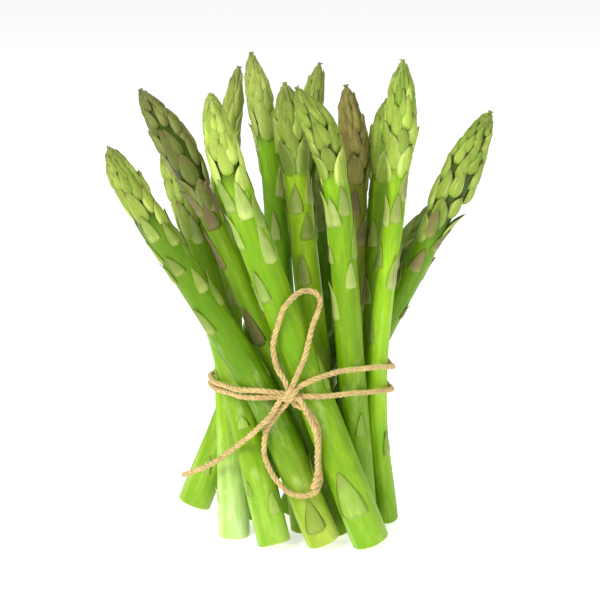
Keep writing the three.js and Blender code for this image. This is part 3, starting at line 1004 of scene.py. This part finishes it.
SIZES = (0.78, 1.2)  # least and greatest size of a bud or scale leaf, for a mean of about 1
HEAD_END = 1.05  # buds grow down to this share of a head's length, and scale leaves below it
FRONT = 0.25  # the spiral's scale leaves stay where the cosine of their angle is less than this
THINNEST = 1.4 * MM  # widths are worked out as if a spear were no thinner than this
ROOM_AT = 2 * MM  # a spear's radius is taken this far above the base of a bud
TIP_SIZE, FULL_SIZE_FROM = 0.52, 0.75  # a bud's size at the tip, and the share where it is full
PAST_TIP = 1.2 * MM  # most that a bud reaches past the tip
CORE_FROM = 0.68  # share of a head's length from its tip where the core starts to swell out again
BUD_HEIGHT, LEAST_BUD_HEIGHT = 1.25, 0.75 * MM  # the first one times the depth of the core
SUNK = (-1.15, -0.75)  # a bud's base is this deep, times the depth of the core


def bud_size(tree, from_tip, share, radius, thick, vary):
    """A bud's width, height and length on the unrolled skin, and the lift that sinks its base."""
    grow = tree.ramp(share, 0.0, FULL_SIZE_FROM, TIP_SIZE, 1.0)
    long = tree.math("MULTIPLY", tree.math("MULTIPLY", tree.input("Bud Length"), grow), vary)
    long = tree.math("MINIMUM", long, tree.math("ADD", from_tip, PAST_TIP))
    wide = tree.math("DIVIDE", tree.math("MULTIPLY", tree.input("Bud Width"), grow), thick)
    neck = tree.ramp(share, CORE_FROM, 1.0, 1.0, 0.0)
    room = tree.math("MINIMUM", tree.input("Bulge"), tree.math("MULTIPLY", radius, BUD_ROOM))
    drop = tree.math("MULTIPLY", room, neck)
    high = tree.math("MAXIMUM", tree.math("MULTIPLY", drop, BUD_HEIGHT), LEAST_BUD_HEIGHT)
    lift = tree.math("MULTIPLY", drop, tree.random(*SUNK, DRAWS["lift"]))
    return tree.combine(wide, high, long), lift


def spiral_leaves(tree, line, length):
    """A head's closed buds and, below them, the scale leaves on the stem's sides and back."""
    points = bud_points(tree, length)
    angle, _, along = tree.split(tree.add("GeometryNodeInputPosition").outputs[0])
    from_tip = tree.math("SUBTRACT", length, along)
    _, _, radius = sampled(tree, line, tree.math("ADD", along, ROOM_AT))
    thick = tree.math("MAXIMUM", radius, THINNEST)
    share = tree.math("DIVIDE", from_tip, tree.input("Head Length"))
    vary = tree.random(*SIZES, DRAWS["size"])
    in_head = tree.math("LESS_THAN", share, HEAD_END)
    size, lift = bud_size(tree, from_tip, share, radius, thick, vary)
    buds = leaves_on(tree, points, tree.object_geometry("Bud"), size, lift, in_head)
    turned_away = tree.math("LESS_THAN", tree.math("COSINE", angle), FRONT)
    on_stem = tree.math("MULTIPLY", tree.math("SUBTRACT", 1.0, in_head), turned_away)
    wide = tree.math("DIVIDE", tree.input("Leaf Width"), thick)
    size = tree.combine(tree.math("MULTIPLY", wide, vary), LEAF_THICKNESS,
                        tree.math("MULTIPLY", tree.input("Leaf Length"), vary))
    leaves = leaves_on(tree, points, tree.object_geometry("Scale Leaf"), size, 0.0, on_stem)
    return buds, leaves


# What varies from leaf to leaf: how bright it is, by how many radians its point is moved round the
# spear and how far its point stands off.
TRAITS = {"tint": (0.1, 0.95), "slant": (-0.22, 0.22), "flare": (-0.3 * MM, 1.6 * MM)}


def varied(tree, leaves):
    """Gives each bud and scale leaf a tint of its own, and slants it and flares its point a little."""
    for name, (low, high) in TRAITS.items():
        value = tree.random(low, high, DRAWS[name])
        leaves = tree.store(leaves, name, "FLOAT", value, "INSTANCE")
    leaves = tree.add("GeometryNodeRealizeInstances", leaves).outputs[0]
    _, up_leaf, _ = tree.split(tree.named("leaf", "FLOAT_VECTOR"))
    past_half = tree.math("MAXIMUM", tree.math("SUBTRACT", up_leaf, 0.5), 0.0)
    flared = tree.math("MULTIPLY", tree.math("MULTIPLY", past_half, past_half),
                       tree.math("MULTIPLY", tree.named("flare", "FLOAT"), 4.0))
    slanted = tree.math("MULTIPLY", up_leaf, tree.named("slant", "FLOAT"))
    return tree.add("GeometryNodeSetPosition", Geometry=leaves,
                    Offset=tree.combine(slanted, flared, 0.0)).outputs[0]


def spear_tree():
    """Grows buds and scale leaves on an unrolled skin and rolls it all round a centre line."""
    tree = Tree("spear", [
        ("Centre Line", "Object"), ("Bud", "Object"), ("Scale Leaf", "Object"), ("Marks", "Object"),
        ("Count", "Int"), ("Seed", "Int"), ("Turn", "Float"), ("First Turn", "Float"),
        ("Tip Gap", "Float"), ("Opening", "Float"), ("Head Length", "Float"), ("Tip", "Float"),
        ("Bulge", "Float"), ("Bud Length", "Float"), ("Bud Width", "Float"),
        ("Leaf Length", "Float"), ("Leaf Width", "Float"),
        ("Skin", "Material"), ("Leaf", "Material"), ("Cut End", "Material"),
    ])
    line = tree.object_geometry("Centre Line")
    length = tree.input("Tip")
    single = leaves_on(tree, tree.object_geometry("Marks"), tree.object_geometry("Scale Leaf"),
                       tree.named("size", "FLOAT_VECTOR"), 0.0)
    leaves = varied(tree, tree.join(*spiral_leaves(tree, line, length), single))
    leaves = tree.painted(rolled(tree, leaves, line, length), "Leaf")
    skin = tree.painted(rolled(tree, tree.input("Geometry"), line, length), "Skin")
    skin = tree.painted(skin, "Cut End", tree.named("cut", "BOOLEAN"))
    return tree.finish(tree.join(skin, leaves))


# Single scale leaves: on which spear, how far along it from its cut end, at what angle from the
# front towards the left, and how long and wide they are, in millimetres and degrees.
LEAF_MARKS = {
    "spear_front_left": [
        (146, 22, 13, 6.5), (136, 68, 12, 6), (129, 10, 10, 6), (140, -50, 12, 6), (101, 44, 14, 7),
        (6, 2, 15, 9), (118, -35, 12, 6),
    ],
    "spear_left_hidden": [
        (124, 60, 14, 5.5), (128, -20, 13, 5.5), (68, 86, 8, 5), (49, 6, 6, 5.5), (21, 46, 7, 4),
        (12, -38, 10, 6),
    ],
    "spear_left_purple": [
        (140, 3, 13, 7), (146, 60, 14, 7), (122.5, 66, 20, 7), (146, -45, 14, 7), (88, 27, 19, 7),
    ],
    "spear_front_big": [
        (146, -12, 17, 7.5), (134, 62, 17, 7), (150, 40, 15, 7), (125, -42, 18, 7.5), (111, 38, 15, 7),
        (14, 12, 22, 13), (140, -62, 15, 7),
    ],
    "spear_back_left": [(13.5, 80, 7, 5), (120, 12, 12, 5), (96, -35, 14, 6)],
    "spear_back_tall": [(124, 9, 13, 5), (142, -30, 12, 5), (104, 32, 12, 5.5)],
    "spear_middle": [(127, -22, 12, 6.5), (138, 20, 13, 6.5), (141, -58, 12, 6), (108, 18, 14, 6.5)],
    "spear_front_right": [
        (136, 24, 13, 6.5), (120, 74, 9, 6), (110, -26, 12, 6), (140, -30, 13, 6.5), (47, -15, 11, 4.5),
    ],
    "spear_back_crossing": [(118, 8, 12, 5.5), (104, -30, 12, 5.5), (15, 9, 9, 5)],
    "spear_back_brown": [(136, 12, 12, 5.5), (124, -30, 12, 5.5), (112, 38, 12, 5.5), (98, 0, 12, 5.5)],
    "spear_right_slim": [
        (134, 66, 14, 6), (145, -52, 13, 6), (136, -8, 13, 6), (117, 74, 12, 5.5), (109, -40, 15, 6),
        (35, -50, 13, 4.5),
    ],
    "spear_right_short": [(124, 20, 12, 5.5), (114, -35, 12, 5.5), (100, 40, 12, 5.5)],
    "spear_far_right": [
        (123, 6, 12, 6.5), (134, -52, 12, 6.5), (139, 30, 14, 7), (112, 60, 12, 6), (99, -72, 9, 5),
    ],
    "spear_back_short": [(124, 20, 12, 5.5), (112, -40, 12, 5.5)],
    "spear_right_back": [(112, 20, 12, 5.5), (103, -40, 12, 5.5), (92, 45, 12, 5.5)],
}


def marks_object(spear, marks):
    """Points for a spear's single scale leaves, on its unrolled skin."""
    corners, sizes = [], []
    for up, angle, long, wide in marks:
        along = FOOT_ROOM + up * MM
        corners.append((math.radians(angle), 0, along))
        sizes.append((wide * MM / spear.radius(along), LEAF_THICKNESS, long * MM))
    made = mesh_object("leaf_marks", corners, [])
    mark(made, "size", "FLOAT_VECTOR", sizes)
    return made


def make_spear(node, look, shapes, tree, settings):
    """One finished spear, which replaces its CAD node."""
    spear = Spear(node)
    number = sorted(SPEARS).index(node)
    rng = random.Random(number)
    skin = unrolled_skin(spear, settings, rng)
    line = curve_object("centre_line", spear.line)
    marks = marks_object(spear, LEAF_MARKS.get(node, []))
    reach = math.atan((spear.length - BARE_FOOT) * settings.opening / settings.tip_gap)
    made = grown(skin, tree, {
        "Centre Line": line,
        "Bud": shapes["bud"],
        "Scale Leaf": shapes["scale"],
        "Marks": marks,
        "Count": int(reach / settings.opening),
        "Seed": number,
        "Turn": GOLDEN_ANGLE,
        "First Turn": look["turn"],
        "Tip Gap": settings.tip_gap,
        "Opening": settings.opening,
        "Head Length": spear.head_length,
        "Tip": FOOT_ROOM + spear.length,
        "Bulge": settings.bulge,
        "Bud Length": settings.bud_length,
        "Bud Width": settings.bud_width,
        "Leaf Length": settings.leaf_length,
        "Leaf Width": settings.leaf_width,
        "Skin": skin_material(node, look),
        "Leaf": leaf_material(node, look),
        "Cut End": shapes["cut_material"],
    }, node + "_fresh")
    discard(line)
    discard(marks)
    made.data.shade_smooth()
    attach(made, BODY)
    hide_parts(node)
    return made


# ---------------------------------------------------------------- twine


FIBRE_STEPS, FIBRE_SIDES = 4, 3
FIBRE_WIDTH = 0.035  # half its thickness at its root, for a length of 1
FIBRE_BEND = (0.35, 0.1)  # how far its point is off the way it starts in


def fibre_object():
    """One loose fibre: a thin bent spike of three sides, a unit long."""
    corners, faces = [], []
    for step in range(FIBRE_STEPS):
        share = step / FIBRE_STEPS
        width = FIBRE_WIDTH * (1 - share)
        x, y = FIBRE_BEND[0] * share**2, FIBRE_BEND[1] * share
        for side in range(FIBRE_SIDES):
            turn = 2 * math.pi * side / FIBRE_SIDES
            corners.append((x + width * math.cos(turn), y + width * math.sin(turn), share))
    point = len(corners)
    corners.append((*FIBRE_BEND, 1))
    for step in range(FIBRE_STEPS):
        low = step * FIBRE_SIDES
        for side in range(FIBRE_SIDES):
            after = (side + 1) % FIBRE_SIDES
            if step == FIBRE_STEPS - 1:
                faces.append([low + side, low + after, point])
            else:
                high = low + FIBRE_SIDES
                faces.append([low + side, low + after, high + after, high + side])
    faces.append(list(reversed(range(FIBRE_SIDES))))
    made = mesh_object("fibre", corners, faces)
    mark(made, "strand", "FLOAT_VECTOR", [(0, 0, 1)] * len(corners))
    return made


PLY_STEP = 0.45 * MM  # length of a face along a ply
PLY_SIDES = 9
PLY_OFFSET = 0.52  # how far a ply's middle is from the twine's, for a twine of radius 1
PLY_RADIUS = (0.46, 0.58)  # its least and greatest radius
FIBRE_LEAN = 1.1  # most that a loose fibre leans over, in radians
FIBRE_SPIN = 6.28  # and turns round
FIBRE_SHORTEST = 0.35  # share of the longest


def twine_tree():
    """Lays up plies round a route, with loose fibres on them."""
    tree = Tree("twine", [
        ("Plies", "Int"), ("Seed", "Int"), ("Radius", "Float"), ("Lay Length", "Float"),
        ("Fibre", "Object"), ("Fibres", "Float"), ("Fibre Length", "Float"), ("Material", "Material"),
    ])
    route = tree.add("GeometryNodeResampleCurve", settings={"mode": "LENGTH"},
                     Curve=tree.input("Geometry"), Length=PLY_STEP).outputs[0]
    copies = tree.add("GeometryNodeDuplicateElements", settings={"domain": "SPLINE"}, Geometry=route,
                      Amount=tree.input("Plies"))
    run = tree.add("GeometryNodeSplineParameter").outputs["Length"]
    turns = tree.math("DIVIDE", run, tree.input("Lay Length"))
    part = tree.math("DIVIDE", copies.outputs["Duplicate Index"], tree.input("Plies"))
    angle = tree.math("MULTIPLY", tree.math("ADD", turns, part), 2 * math.pi)
    normal = tree.add("GeometryNodeInputNormal").outputs[0]
    tangent = tree.add("GeometryNodeInputTangent").outputs[0]
    side = tree.vector("CROSS_PRODUCT", tangent, normal)
    off = tree.math("MULTIPLY", tree.input("Radius"), PLY_OFFSET)
    arm = tree.vector("ADD", tree.scaled(normal, tree.math("MULTIPLY", tree.math("COSINE", angle), off)),
                      tree.scaled(side, tree.math("MULTIPLY", tree.math("SINE", angle), off)))
    plies = tree.store(copies.outputs[0], "run", "FLOAT", run)
    plies = tree.add("GeometryNodeSetPosition", Geometry=plies, Offset=arm).outputs[0]
    place = tree.add("GeometryNodeInputPosition").outputs[0]
    uneven = tree.add("ShaderNodeTexNoise", settings={"noise_dimensions": "3D"}, Vector=place,
                      Scale=420.0, Detail=2.0).outputs[0]
    thick = tree.math("MULTIPLY", tree.input("Radius"), tree.ramp(uneven, 0.3, 0.7, *PLY_RADIUS))
    profile = tree.add("GeometryNodeCurvePrimitiveCircle", Resolution=PLY_SIDES, Radius=1.0).outputs[0]
    spot = tree.add("GeometryNodeSplineParameter").outputs["Factor"]
    profile = tree.store(profile, "around", "FLOAT", spot)
    plies = tree.add("GeometryNodeSetCurveRadius", Curve=plies, Radius=thick).outputs[0]
    radius = tree.add("GeometryNodeInputRadius").outputs[0]
    mesh = tree.add("GeometryNodeCurveToMesh", Curve=plies, Profile_Curve=profile, Scale=radius,
                    Fill_Caps=True).outputs[0]
    strand = tree.combine(tree.named("around", "FLOAT"), tree.named("run", "FLOAT"), 0.0)
    mesh = tree.store(mesh, "strand", "FLOAT_VECTOR", strand)
    spread = tree.add("GeometryNodeDistributePointsOnFaces", Mesh=mesh, Density=tree.input("Fibres"),
                      Seed=tree.input("Seed"))
    lean = tree.add("FunctionNodeRandomValue", settings={"data_type": "FLOAT_VECTOR"})
    lean.inputs[0].default_value = (-FIBRE_LEAN, -FIBRE_LEAN, 0)
    lean.inputs[1].default_value = (FIBRE_LEAN, FIBRE_LEAN, FIBRE_SPIN)
    tree.tree.links.new(tree.input("Seed"), lean.inputs["Seed"])
    turned = tree.add("FunctionNodeRotateRotation", settings={"rotation_space": "LOCAL"},
                      Rotation=spread.outputs["Rotation"],
                      Rotate_By=tree.add("FunctionNodeEulerToRotation", lean.outputs[0]).outputs[0])
    long = tree.math("MULTIPLY", tree.input("Fibre Length"), tree.random(FIBRE_SHORTEST, 1.0))
    fibres = tree.add("GeometryNodeInstanceOnPoints", Points=spread.outputs["Points"],
                      Instance=tree.object_geometry("Fibre"), Rotation=turned.outputs[0],
                      Scale=long).outputs[0]
    both = tree.add("GeometryNodeRealizeInstances", tree.join(mesh, fibres)).outputs[0]
    return tree.finish(tree.painted(both, "Material"))


def wrap_line():
    """The wrap's own route, read from the rings of its CAD tube."""
    corners, beside = welded("twine_wrap")
    far = rings_from(beside, [0])[-1][0]
    around = [corner for ring in rings_from(beside, [far])[:TWINE_SIDES // 2 + 1] for corner in ring]
    around.sort(key=lambda corner: np.linalg.norm(corners[corner] - corners[far]))
    rings = rings_from(beside, around[:TWINE_SIDES])
    if any(len(ring) != TWINE_SIDES for ring in rings):
        raise RuntimeError(f"twine_wrap isn't made of rings of {TWINE_SIDES} corners")
    return smooth_line(tucked([corners[ring].mean(axis=0) for ring in rings], True), steps=6)


def knot_heart():
    low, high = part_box("twine_knot")
    return np.array((low + high) / 2)


TUCK = (0.35, 0.75)  # how far in towards the knot's middle the places of a tucked end are


def tucked(places, both_ends):
    """A route whose ends at the knot run on into it."""
    places = [np.array(place) for place in places]
    heart = knot_heart()

    def inside(end):
        return [end + (heart - end) * share for share in TUCK]

    led = inside(places[0])[::-1] + places
    if both_ends:
        led += inside(places[-1])
    return led


KNOT_STEPS = 36
KNOT_LEAN = math.radians(-28)  # its turns lie along a line that falls to the right by this
KNOT_START, KNOT_TURN = -120, 660  # degrees
KNOT_SPREAD = 3.4 * MM  # from its first turn to its last
KNOT_HIGH, KNOT_DEEP = 2.5 * MM, 1.5 * MM  # half its height and depth
KNOT_AHEAD = 0.3 * MM  # how far its turns stand in front of its middle


def knot_line():
    """Nearly two turns of twine drawn tight across the middle of the bow."""
    heart = knot_heart()
    places = []
    for step in range(KNOT_STEPS + 1):
        share = step / KNOT_STEPS
        turn = math.radians(KNOT_START + KNOT_TURN * share)
        along = KNOT_SPREAD * (share - 0.5)
        high = KNOT_HIGH * math.sin(turn)
        places.append((
            heart[0] + along * math.cos(KNOT_LEAN) - high * math.sin(KNOT_LEAN),
            heart[1] - KNOT_AHEAD - KNOT_DEEP * math.cos(turn),
            heart[2] + along * math.sin(KNOT_LEAN) + high * math.cos(KNOT_LEAN),
        ))
    return smooth_line(places, steps=2)


KNOT_SEED, WRAP_SEED = 11, 12


def make_twine(node, line, tree, fibre, material, settings, seed):
    made = grown(curve_object("route", line), tree, {
        "Plies": settings.plies,
        "Seed": seed,
        "Radius": TWINE_DIAMETER / 2,
        "Lay Length": settings.lay_length,
        "Fibre": fibre,
        "Fibres": settings.fibres,
        "Fibre Length": settings.fibre_length,
        "Material": material,
    }, node + "_laid")
    made.data.shade_smooth()
    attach(made, BODY)
    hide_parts(node)
    return made


# ---------------------------------------------------------------- operators


SENSOR_WIDTH = 36  # millimetres
FLOOR_REACH = 8.0
FLOOR_DROP = 0.2 * MM  # how far the floor lies below the cut ends
SURROUND = 0.38  # strength of the even white light from all round

# The softboxes: where each stands, the length of its sides and its power.
SOFTBOXES = {
    "key": ((-0.75, -0.85, 0.9), 0.6, 16),
    "fill": ((0.9, -0.8, 0.5), 0.8, 2.5),
    "top": ((0.1, 0.2, 1.3), 0.8, 6),
}
LIT_PLACE = Vector((0, 0, 0.1))  # what the softboxes face


class ASPARAGUS_OT_stage(bpy.types.Operator):
    """Set up the camera, a pale floor and soft studio lights"""

    bl_idname = "asparagus.stage"
    bl_label = "Stage"

    def execute(self, context):
        settings = context.scene.asparagus_stage
        camera = bpy.data.cameras.new("camera")
        camera.lens = settings.lens
        camera.sensor_width = SENSOR_WIDTH
        seen = bpy.data.objects.new("camera", camera)
        context.scene.collection.objects.link(seen)
        aim = Vector(settings.aim)
        back = Vector((0, -math.cos(settings.elevation), math.sin(settings.elevation)))
        seen.location = aim + back * settings.distance
        seen.rotation_euler = (-back).to_track_quat("-Z", "Y").to_euler()
        context.scene.camera = seen
        self.add_floor(settings)
        self.add_lights(context, settings)
        return {"FINISHED"}

    def add_floor(self, settings):
        signs = ((-1, -1), (1, -1), (1, 1), (-1, 1))
        corners = [(FLOOR_REACH * x, FLOOR_REACH * y, -FLOOR_DROP) for x, y in signs]
        floor = mesh_object("floor", corners, [[0, 1, 2, 3]])
        floor.data.materials.append(floor_material(settings))

    def add_lights(self, context, settings):
        for name, (place, size, power) in SOFTBOXES.items():
            light = bpy.data.lights.new(name, "AREA")
            light.shape = "SQUARE"
            light.size = size
            light.energy = power * settings.light
            lamp = bpy.data.objects.new(name, light)
            lamp.location = place
            toward = LIT_PLACE - Vector(place)
            lamp.rotation_euler = toward.to_track_quat("-Z", "Y").to_euler()
            context.scene.collection.objects.link(lamp)
        world = bpy.data.worlds.new("studio")
        world.use_nodes = True
        background = world.node_tree.nodes["Background"]
        background.inputs["Color"].default_value = (1, 1, 1, 1)
        background.inputs["Strength"].default_value = SURROUND
        context.scene.world = world
        context.scene.view_settings.view_transform = "Standard"


class ASPARAGUS_OT_twine(bpy.types.Operator):
    """Tie the bow, the knot and the wrap"""

    bl_idname = "asparagus.twine"
    bl_label = "Twine"

    def execute(self, context):
        settings = context.scene.asparagus_twine
        tree = twine_tree()
        fibre = fibre_object()
        material = twine_material(settings)
        for seed, (node, (length, places)) in enumerate(ROUTES.items()):
            goes_back = "loop" in node
            line = smooth_line(tucked(places, goes_back), steps=8)
            made = make_twine(node, line, tree, fibre, material, settings, seed)
        make_twine("twine_knot", knot_line(), tree, fibre, material, settings, KNOT_SEED)
        make_twine("twine_wrap", wrap_line(), tree, fibre, material, settings, WRAP_SEED)
        discard(fibre)
        return {"FINISHED"}


class ASPARAGUS_OT_spears(bpy.types.Operator):
    """Grow every spear's skin, buds and scale leaves"""

    bl_idname = "asparagus.spears"
    bl_label = "Spears"

    def execute(self, context):
        settings = context.scene.asparagus_spears
        missing = set(SPEARS) - set(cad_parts)
        if missing:
            raise RuntimeError(f"the frame has no node named {sorted(missing)}")
        tree = spear_tree()
        shapes = {
            "bud": shell("bud", bud_outline, bud_height, rows=8, spans=6, kind=BUD),
            "scale": shell("scale_leaf", scale_outline, scale_height, rows=7, spans=6,
                           kind=SCALE_LEAF),
            "cut_material": cut_material(),
        }
        for node, look in SPEARS.items():
            make_spear(node, look, shapes, tree, settings)
        discard(shapes["bud"])
        discard(shapes["scale"])
        return {"FINISHED"}


class ASPARAGUS_PT_panel(bpy.types.Panel):
    """Settings and steps of the bundle"""

    bl_idname = "ASPARAGUS_PT_panel"
    bl_label = "Asparagus Bundle"
    bl_space_type = "VIEW_3D"
    bl_region_type = "UI"
    bl_category = "Asparagus"

    def draw(self, context):
        scene = context.scene
        steps = (
            (scene.asparagus_stage, "asparagus.stage"),
            (scene.asparagus_twine, "asparagus.twine"),
            (scene.asparagus_spears, "asparagus.spears"),
        )
        for settings, operator in steps:
            box = self.layout.box()
            for key in settings.__annotations__:
                box.prop(settings, key)
            box.operator(operator)


CLASSES = (
    SpearSettings,
    TwineSettings,
    StageSettings,
    ASPARAGUS_OT_stage,
    ASPARAGUS_OT_twine,
    ASPARAGUS_OT_spears,
    ASPARAGUS_PT_panel,
)


def register():
    for made in CLASSES:
        bpy.utils.register_class(made)
    bpy.types.Scene.asparagus_spears = PointerProperty(type=SpearSettings)
    bpy.types.Scene.asparagus_twine = PointerProperty(type=TwineSettings)
    bpy.types.Scene.asparagus_stage = PointerProperty(type=StageSettings)


def unregister():
    del bpy.types.Scene.asparagus_stage
    del bpy.types.Scene.asparagus_twine
    del bpy.types.Scene.asparagus_spears
    for made in reversed(CLASSES):
        bpy.utils.unregister_class(made)


def main():
    register()
    bpy.ops.asparagus.stage()
    bpy.ops.asparagus.twine()
    bpy.ops.asparagus.spears()


if __name__ == "__main__":
    main()
